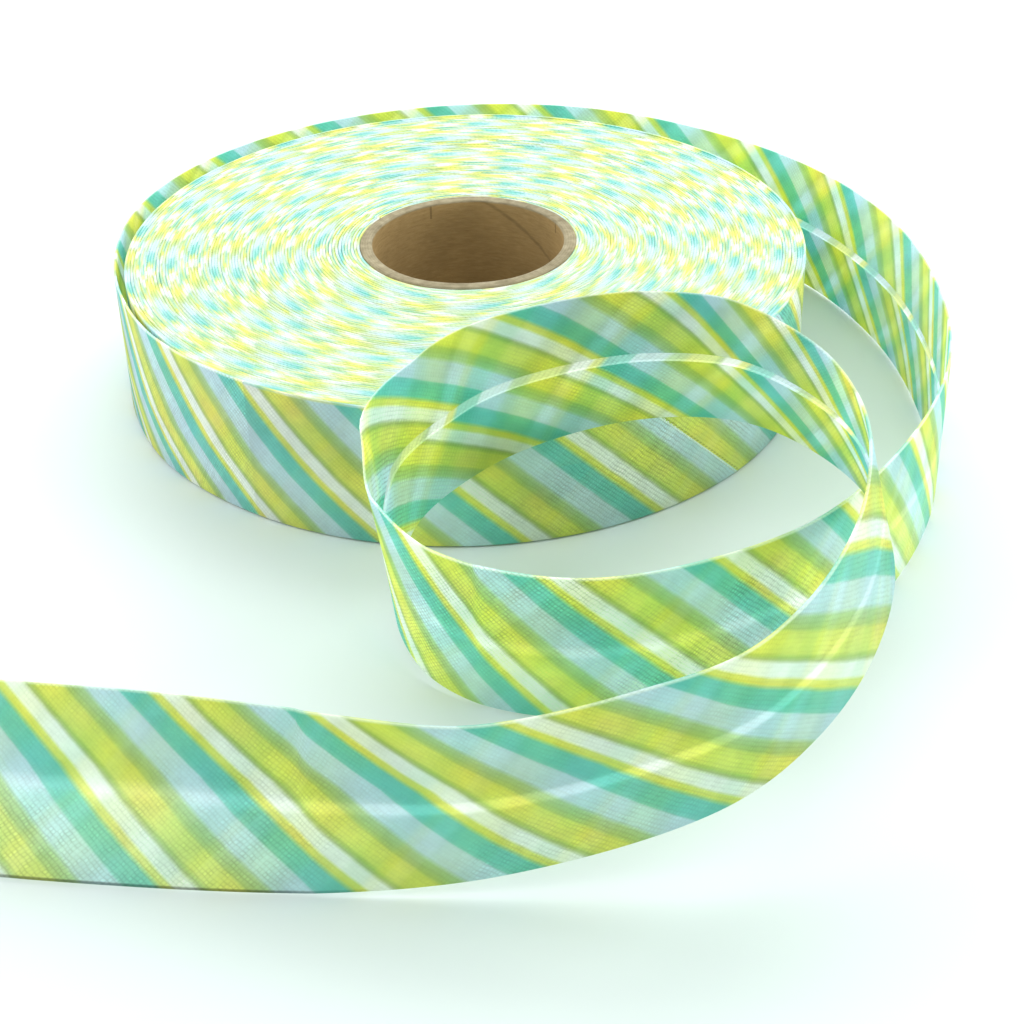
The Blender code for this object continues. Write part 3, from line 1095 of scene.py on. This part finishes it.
JOIN_TURN = (JOIN_REPEATS * REPEAT - places[0]) * ROLL_STRETCH / (math.tau * OUTER_MIDDLE)
JOIN_ANGLE = START_ANGLE + math.tau * JOIN_TURN + STITCHES_ASIDE / OUTER_MIDDLE
row = with_tree(seedling(), stitches_group(), middle_angle=JOIN_ANGLE, material=thread_material())
stitches = made_mesh(row, "join_stitches")
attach(stitches, "root")

# %% [markdown]
# ## The cardboard tube
#
# The core is a tube of brown board, wound from paper strips in a spiral and cut off square. Cut
# board has a soft, slightly fuzzy rim that is paler than its wall, and inside the seam of the
# last paper strip runs up as a low step. A lathe profile would be too perfect, so the tube is
# built point by point: a profile with rounded rims, a small unevenness at the cut, the seam's
# step pressed into the bore, and the whole a little out of round, as a tube is after packing.

# %% The tube
CORE_BORE_RADIUS = 20.25 * MM
CORE_STEPS = 180
RIM_ROUND = 0.45 * MM
BORE_BANDS = 14
RIM_BANDS = 6
SEAM_STEP = 0.16 * MM
SEAM_START = 13.5 * MM
SEAM_CLIMB = CORE_BORE_RADIUS * math.tan(math.radians(30))
# the share of a turn over which the seam's step runs out
SEAM_FALL = 1 / 14
RIM_WEAR = 0.10 * MM
RIM_WEAR_FROM, RIM_WEAR_OVER = 20.0 * MM, 9.0 * MM
OUT_OF_ROUND = 0.15 * MM


def tube_profile():
    """Points (radius, height) round the wall: up the bore, over the top, down, and back below."""
    inner, outer, top = CORE_BORE_RADIUS, CORE_RADIUS, TAPE_WIDTH
    soft = RIM_ROUND * 0.3
    rim = [(outer - inner - 2 * RIM_ROUND) * band / RIM_BANDS for band in range(RIM_BANDS + 1)]
    points = [(inner, RIM_ROUND + (top - 2 * RIM_ROUND) * band / BORE_BANDS) for band in range(BORE_BANDS + 1)]
    points += [(inner + soft, top - soft), *((inner + RIM_ROUND + step, top) for step in rim)]
    points += [(outer - soft, top - soft), (outer, top - RIM_ROUND), (outer, RIM_ROUND), (outer - soft, soft)]
    points += [*((outer - RIM_ROUND - step, 0.0) for step in rim), (inner + soft, soft)]
    return points


def ripple(angle, place):
    """A small unevenness from -1 to 1 that closes on itself round the tube."""
    return (0.5 * math.sin(5 * angle + 4 * place / MM) + 0.3 * math.sin(13 * angle + 2.1 + place / MM)
            + 0.2 * math.sin(31 * angle + 0.7 + 3 * place / MM))


def tube_point(angle, radius, height):
    if radius < CORE_BORE_RADIUS + 0.01 * MM:
        past_seam = (SEAM_START + angle * SEAM_CLIMB - height) / (math.tau * SEAM_CLIMB) % 1.0
        radius += SEAM_STEP * (1 - smooth_step(past_seam / SEAM_FALL))
    else:
        wear_and_highlight = smooth_step((height - RIM_WEAR_FROM) / RIM_WEAR_OVER)
        height -= RIM_WEAR * (0.5 + 0.5 * ripple(angle, radius)) * wear_and_highlight
    radius += OUT_OF_ROUND * (math.cos(2 * angle + 0.3) + 0.6 * math.sin(5 * angle)) / 1.6
    return Vector((AXIS.x + TUBE_SHIFT + radius * math.cos(angle), AXIS.y + radius * math.sin(angle), height))


def board_tube(name, material):
    work = bmesh.new()
    rings = []
    for step in range(CORE_STEPS):
        angle = math.tau * step / CORE_STEPS
        rings.append([work.verts.new(tube_point(angle, radius, height)) for radius, height in tube_profile()])
    for ring, following in zip(rings, rings[1:] + rings[:1]):
        for index in range(len(ring)):
            after = (index + 1) % len(ring)
            work.faces.new((ring[index], ring[after], following[after], following[index]))
    bmesh.ops.recalc_face_normals(work, faces=work.faces)
    mesh = bpy.data.meshes.new(name)
    work.to_mesh(mesh)
    work.free()
    mesh.materials.append(material)
    mesh.shade_smooth()
    print(name, "has", len(mesh.polygons), "faces")
    return in_scene(name, mesh)


# %% [markdown]
# ## The board's finish
#
# Kraft board is brown with flecks and fibres that lie along the paper. Its cut rim is paler and
# shows the layers as fine rings, and down in the bore the board looks darker and warmer. The
# seam is a dark slanting line, and the knife has left two small cuts below the rim. Colour
# by height and by distance from the axis needs only Object coordinates, because the tube stands
# still. A Mapping node moves them to the tube's own axis.

# %% The board material
WALL_COLOURS = ((0.25, (140, 117, 75)), (0.5, (152, 128, 84)), (0.75, (164, 140, 94)))
RIM_COLOURS = ((0.30, (122, 112, 87)), (0.50, (142, 133, 106)), (0.72, (162, 153, 127)))
LAYER = 0.55 * MM
# degrees round the bore, and depth, of the small cuts that the knife left below the rim
CUTS = ((22.5, 2.6 * MM), (114.5, 3.4 * MM))
CUT_HALF_WIDTH = 0.25 * MM
SEAM_SHADE, CUT_SHADE = 0.74, 0.35


def bore_shade(angle, height):
    """The seam and the cuts as a shade of the bore, 1 where there are none."""
    from_seam = maths("ABSOLUTE", angle * SEAM_CLIMB + SEAM_START - height)
    shade = mapped(from_seam, 0.15 * MM, 0.8 * MM, SEAM_SHADE, 1.0)
    for degrees, depth in CUTS:
        beside = maths("ABSOLUTE", angle - math.radians(degrees))
        cut = maths("LESS_THAN", beside, CUT_HALF_WIDTH / CORE_BORE_RADIUS)
        high = maths("GREATER_THAN", height, TAPE_WIDTH - depth)
        shade = shade * (1.0 - cut * high * CUT_SHADE)
    return shade


def board_material():
    material, tree = new_material("kraft board")
    spot = source(tree, "ShaderNodeTexCoord", "Object")
    centred = fed("ShaderNodeMapping", {"Vector": spot, "Location": (-AXIS.x - TUBE_SHIFT, -AXIS.y, 0.0)})
    x, y, height = numbers_of(centred)
    radius = maths("SQRT", maths("POWER", x, 2.0) + maths("POWER", y, 2.0))
    flattened = fed("ShaderNodeMapping", {"Vector": centred, "Scale": (1.0, 1.0, 5.0)})
    fibres = noise(flattened, scale=420.0, detail=5.0, roughness=0.65)
    clouds = noise(centred, scale=90.0, detail=3.0)
    wall = scaled(ramp(WALL_COLOURS, fibres), bore_shade(maths("ARCTAN2", y, x), height))
    layers = maths("SINE", radius * (math.tau / LAYER))
    rim = ramp(RIM_COLOURS, layers * 0.04 + fibres)
    at_rim = mapped(height, TAPE_WIDTH - 0.6 * MM, TAPE_WIDTH - 0.25 * MM)
    board = scaled(mixed(at_rim, wall, rim), mapped(clouds, 0.3, 0.7, 0.88, 1.10))
    bump = fed("ShaderNodeBump", {"Strength": 0.5, "Distance": 0.12 * MM, "Height": fibres})
    paper = fed("ShaderNodeBsdfPrincipled", {"Base Color": board, "Roughness": 0.9, "Specular IOR Level": 0.2,
                                             "Normal": bump})
    add_node(tree, "ShaderNodeOutputMaterial", {"Surface": paper})
    return material


board_core = board_tube("board_tube", board_material())
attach(board_core, "root")
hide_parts("core")

# %% [markdown]
# ## Floor and light
#
# The object lies on a plain pale surface in very soft light, as in a light tent: bright from
# above and behind, and filled from all sides, so that the shadows are faint and a little green.
# A large floor stands in for the table, the world gives the fill, and four broad area lights
# shape it: a window behind, and a card on each other side. The floor isn't part of the object.

# %% Floor and light
FLOOR_REACH = 3.0
FLOOR_DROP = 0.05 * MM
corners = [(x * FLOOR_REACH, y * FLOOR_REACH, -FLOOR_DROP) for x, y in ((-1, -1), (1, -1), (1, 1), (-1, 1))]
floor_mesh = bpy.data.meshes.new("floor")
floor_mesh.from_pydata(corners, [], [(0, 1, 2, 3)])
floor_paint, floor_tree = new_material("pale floor")
floor_surface = source(floor_tree, "ShaderNodeBsdfPrincipled", sockets={
    "Base Color": (0.68, 0.765, 0.755, 1.0), "Roughness": 0.7, "Specular IOR Level": 0.2})
add_node(floor_tree, "ShaderNodeOutputMaterial", {"Surface": floor_surface})
floor_mesh.materials.append(floor_paint)
floor = in_scene("floor", floor_mesh)

world = bpy.data.worlds.new("soft world")
bpy.context.scene.world = world
world.use_nodes = True
world.node_tree.nodes["Background"].inputs["Color"].default_value = (0.99, 1.0, 1.0, 1.0)
world.node_tree.nodes["Background"].inputs["Strength"].default_value = 0.78
bpy.context.scene.view_settings.view_transform = "Standard"

# name, place in metres, side of the square in metres, watts
LIGHTS = (
    ("window behind", (0.05, 0.90, 0.80), 1.2, 14.0),
    ("card on the right", (0.9, 0.1, 0.5), 0.8, 7.0),
    ("card on the left", (-0.9, 0.0, 0.5), 0.8, 5.5),
    ("card in front", (0.0, -1.3, 0.35), 1.2, 2.4),
)
for name, place, side, power in LIGHTS:
    light = bpy.data.lights.new(name, "AREA")
    light.energy = power
    light.size = side
    lamp = in_scene(name, light)
    lamp.location = place
    lamp.rotation_euler = Vector(place).to_track_quat("Z", "Y").to_euler()
print("lights:", ", ".join(name for name, *_ in LIGHTS))

# %% [markdown]
# ## The camera
#
# The camera looks down at about 33 degrees from the front, close enough that the near tape
# is clearly larger than the far side of the roll. It is turned a touch about its own line of
# sight, as a camera held by hand is.

# %% The camera
CAMERA_PLACE = (9.87 * MM, -325.46 * MM, 202.62 * MM)
CAMERA_PITCH = 0.5805
CAMERA_ROLL = -0.0251
camera_data = bpy.data.cameras.new("camera")
camera_data.lens = 66.8
camera_data.sensor_width = 36.0
camera_data.clip_start = 0.01
camera = in_scene("camera", camera_data)
camera.location = CAMERA_PLACE
turned = Matrix.Rotation(math.pi / 2 - CAMERA_PITCH, 4, "X") @ Matrix.Rotation(CAMERA_ROLL, 4, "Z")
camera.rotation_euler = turned.to_euler()
bpy.context.scene.camera = camera
print("camera looks down", round(math.degrees(CAMERA_PITCH)), "degrees")
